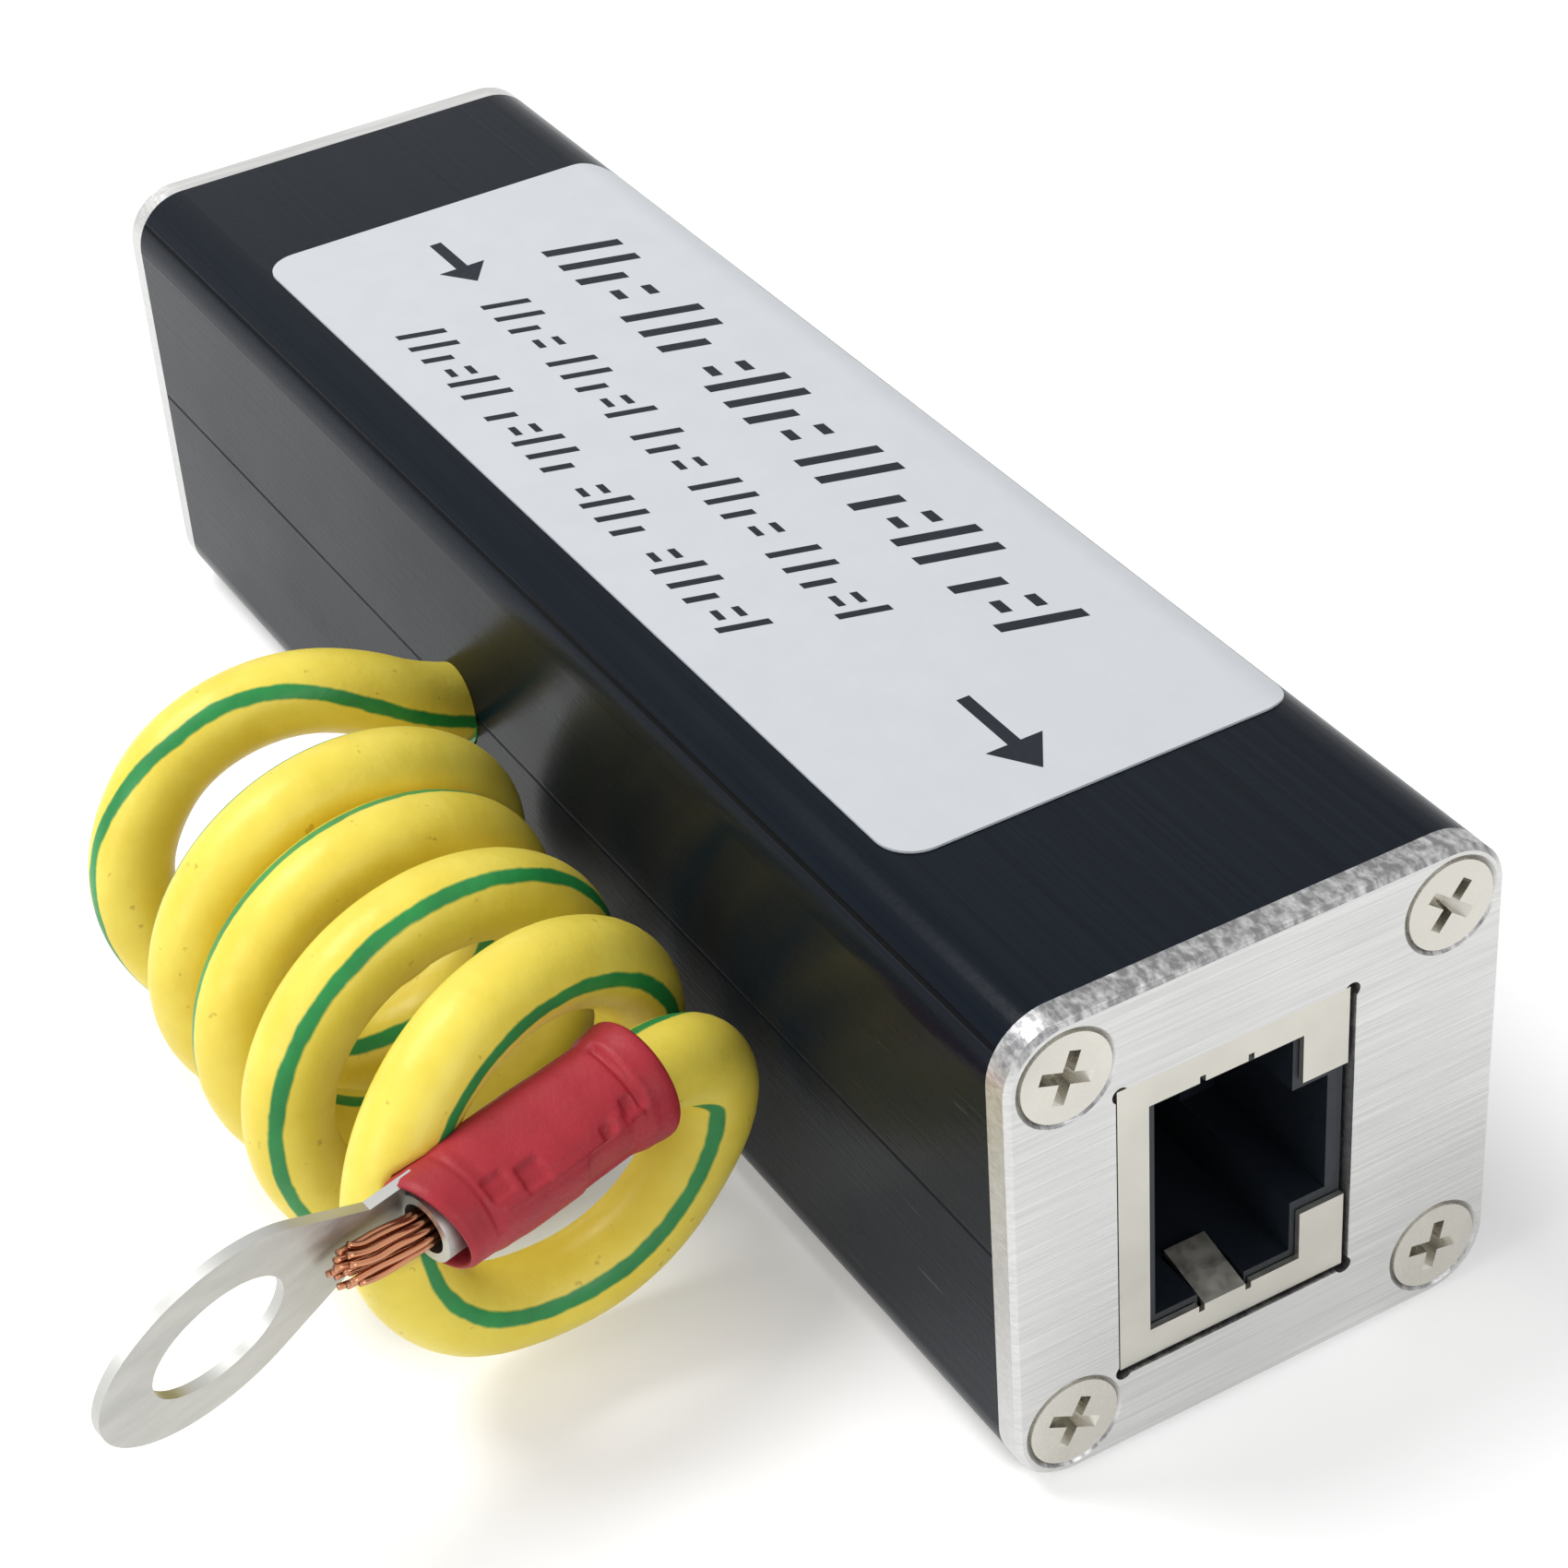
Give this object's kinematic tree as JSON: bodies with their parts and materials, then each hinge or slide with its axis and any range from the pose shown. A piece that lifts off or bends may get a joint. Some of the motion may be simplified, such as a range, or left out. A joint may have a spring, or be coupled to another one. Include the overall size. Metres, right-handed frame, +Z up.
{
  "type": "ethernet surge protector",
  "caption": "In-line network surge protector: a square black tube with a shielded jack in each bright end plate and a coiled earthing wire that ends in a ring terminal.",
  "frame": {"origin": "middle of the tube's underside", "axes": "+X along the tube towards the protected-side jack, +Z up towards the label, the earthing wire leaves on the -Y side"},
  "size_m": [0.0914, 0.0612, 0.0257],
  "materials": {
    "black_aluminium": "satin black anodised",
    "bright_aluminium": "brushed",
    "nickel_steel": "nickel plated",
    "label_film": "satin",
    "board_laminate": "satin",
    "shield_tin": "tinned",
    "black_plastic": "matte",
    "contact_metal": "polished",
    "tube_ceramic": "matte",
    "diode_case": "matte",
    "wire_jacket": "satin",
    "copper": "bare",
    "solder": "bright",
    "terminal_tin": "tinned",
    "red_sleeve": "satin"
  },
  "bodies": {
    "root": {"housing": "black_aluminium", "out_end_plate": "bright_aluminium", "in_end_plate": "bright_aluminium", "out_plate_screws": "nickel_steel", "in_plate_screws": "nickel_steel", "label": "label_film", "circuit_board": "board_laminate", "out_jack_shield": "shield_tin", "in_jack_shield": "shield_tin", "out_jack_housing": "black_plastic", "in_jack_housing": "black_plastic", "out_contact_carrier": "black_plastic", "in_contact_carrier": "black_plastic", "out_contacts": "contact_metal", "in_contacts": "contact_metal", "gas_tube_1": "tube_ceramic", "gas_tube_2": "tube_ceramic", "gas_tube_3": "tube_ceramic", "gas_tube_4": "tube_ceramic", "clamping_diode_1": "diode_case", "clamping_diode_2": "diode_case", "clamping_diode_3": "diode_case", "clamping_diode_4": "diode_case", "ground_wire_inside": "wire_jacket", "ground_wire_lead": "wire_jacket", "ground_wire_coil": "wire_jacket", "ground_wire_tail": "wire_jacket", "ground_wire_conductor": "copper", "wire_strands": "copper", "ground_solder": "solder", "ring_terminal": "terminal_tin", "terminal_sleeve": "red_sleeve"}
  },
  "joints": []
}
